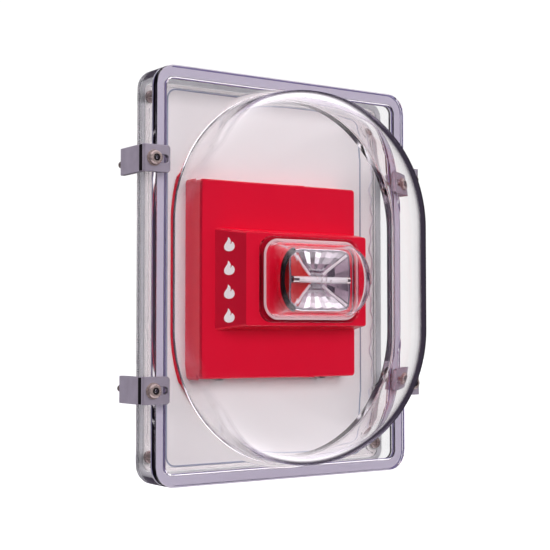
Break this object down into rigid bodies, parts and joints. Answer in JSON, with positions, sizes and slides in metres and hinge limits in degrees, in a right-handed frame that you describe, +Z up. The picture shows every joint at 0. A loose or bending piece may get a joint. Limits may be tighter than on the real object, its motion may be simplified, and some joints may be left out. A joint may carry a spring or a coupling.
{
  "type": "wall horn strobe with protective cover",
  "caption": "Square red fire-alarm horn strobe with a clear strobe lens, on a white back plate under a clear domed protective cover held by side clamps.",
  "frame": {"origin": "on the wall plane, at the middle of the four frame screws, which is the middle of the cover", "axes": "-Y to the front, away from the wall; +Z up; +X to the right seen from the front"},
  "size_m": [0.202, 0.097, 0.24],
  "materials": {
    "frame_polycarbonate": "clear moulded polycarbonate, faint lavender tint, glossy",
    "cover_polycarbonate": "clear moulded polycarbonate, glossy",
    "clamp_steel": "bent steel strip, satin",
    "lens_polycarbonate": "clear moulded lens, glossy",
    "tube_glass": "clear glass tube",
    "foam_seal": "closed-cell foam, matt",
    "clear_seal": "soft translucent seal",
    "red_seal": "soft dark red rubber, matt",
    "white_plastic": "off-white moulded plastic, fine texture",
    "red_plastic": "alarm red moulded plastic, satin",
    "white_ink": "white pad print",
    "zinc_steel": "zinc-plated steel",
    "stainless_steel": "stainless steel",
    "nickel_steel": "nickel-plated",
    "galvanised_steel": "galvanised pressed steel",
    "board_laminate": "green solder mask over glass laminate",
    "capacitor_sleeve": "dark shrink sleeve",
    "transformer_plastic": "black moulded bobbin",
    "ferrite": "grey-black ferrite",
    "copper_wire": "enamelled copper wire",
    "chip_plastic": "black moulded epoxy",
    "black_plastic": "black moulded plastic",
    "brass_disc": "rolled brass with a ceramic layer",
    "terminal_plastic": "green terminal plastic",
    "knob_plastic": "white moulded plastic",
    "reflector_chrome": "vacuum-metallised plastic, mirror bright"
  },
  "bodies": {
    "wall_assembly": {"back_frame": "frame_polycarbonate", "wall_seal": "foam_seal", "cover_seal": "clear_seal", "back_plate": "white_plastic", "frame_screws": "zinc_steel", "housing": "red_plastic", "flame_marks": "white_ink", "housing_screws": "zinc_steel", "mounting_bracket": "galvanised_steel", "circuit_board": "board_laminate", "board_screws": "zinc_steel", "flash_capacitor": "capacitor_sleeve", "trigger_transformer": "transformer_plastic", "charging_inductor": "ferrite", "inductor_winding": "copper_wire", "control_chips": "chip_plastic", "sounder_chamber": "black_plastic", "sounder_disc": "brass_disc", "terminal_block": "terminal_plastic", "terminal_screws": "nickel_steel", "candela_selector": "black_plastic", "volume_selector": "black_plastic", "lens_seal": "red_seal", "strobe_lens": "lens_polycarbonate", "reflector": "reflector_chrome", "flash_tube": "tube_glass", "tube_electrodes": "nickel_steel", "trigger_wire": "nickel_steel"},
    "cover": {"front_cover": "cover_polycarbonate", "clamp_screws": "stainless_steel", "clamp_washers": "stainless_steel"},
    "clamp_left_upper": {"clamp_left_upper": "clamp_steel"},
    "clamp_left_lower": {"clamp_left_lower": "clamp_steel"},
    "clamp_right_upper": {"clamp_right_upper": "clamp_steel"},
    "clamp_right_lower": {"clamp_right_lower": "clamp_steel"},
    "candela_knob": {"candela_knob": "knob_plastic"},
    "volume_knob": {"volume_knob": "knob_plastic"}
  },
  "joints": [
    {"name": "cover_lift", "type": "slide", "parent": "wall_assembly", "child": "cover", "axis": [0, -1, 0], "range_m": [0, 0.12]},
    {"name": "clamp_left_upper_slide", "type": "slide", "parent": "cover", "child": "clamp_left_upper", "axis": [-1, 0, 0], "range_m": [0, 0.0072]},
    {"name": "clamp_left_lower_slide", "type": "slide", "parent": "cover", "child": "clamp_left_lower", "axis": [-1, 0, 0], "range_m": [0, 0.0072]},
    {"name": "clamp_right_upper_slide", "type": "slide", "parent": "cover", "child": "clamp_right_upper", "axis": [1, 0, 0], "range_m": [0, 0.0072]},
    {"name": "clamp_right_lower_slide", "type": "slide", "parent": "cover", "child": "clamp_right_lower", "axis": [1, 0, 0], "range_m": [0, 0.0072]},
    {"name": "candela_setting", "type": "slide", "parent": "wall_assembly", "child": "candela_knob", "axis": [1, 0, 0], "range_m": [0, 0.006]},
    {"name": "volume_setting", "type": "slide", "parent": "wall_assembly", "child": "volume_knob", "axis": [1, 0, 0], "range_m": [0, 0.006]}
  ]
}
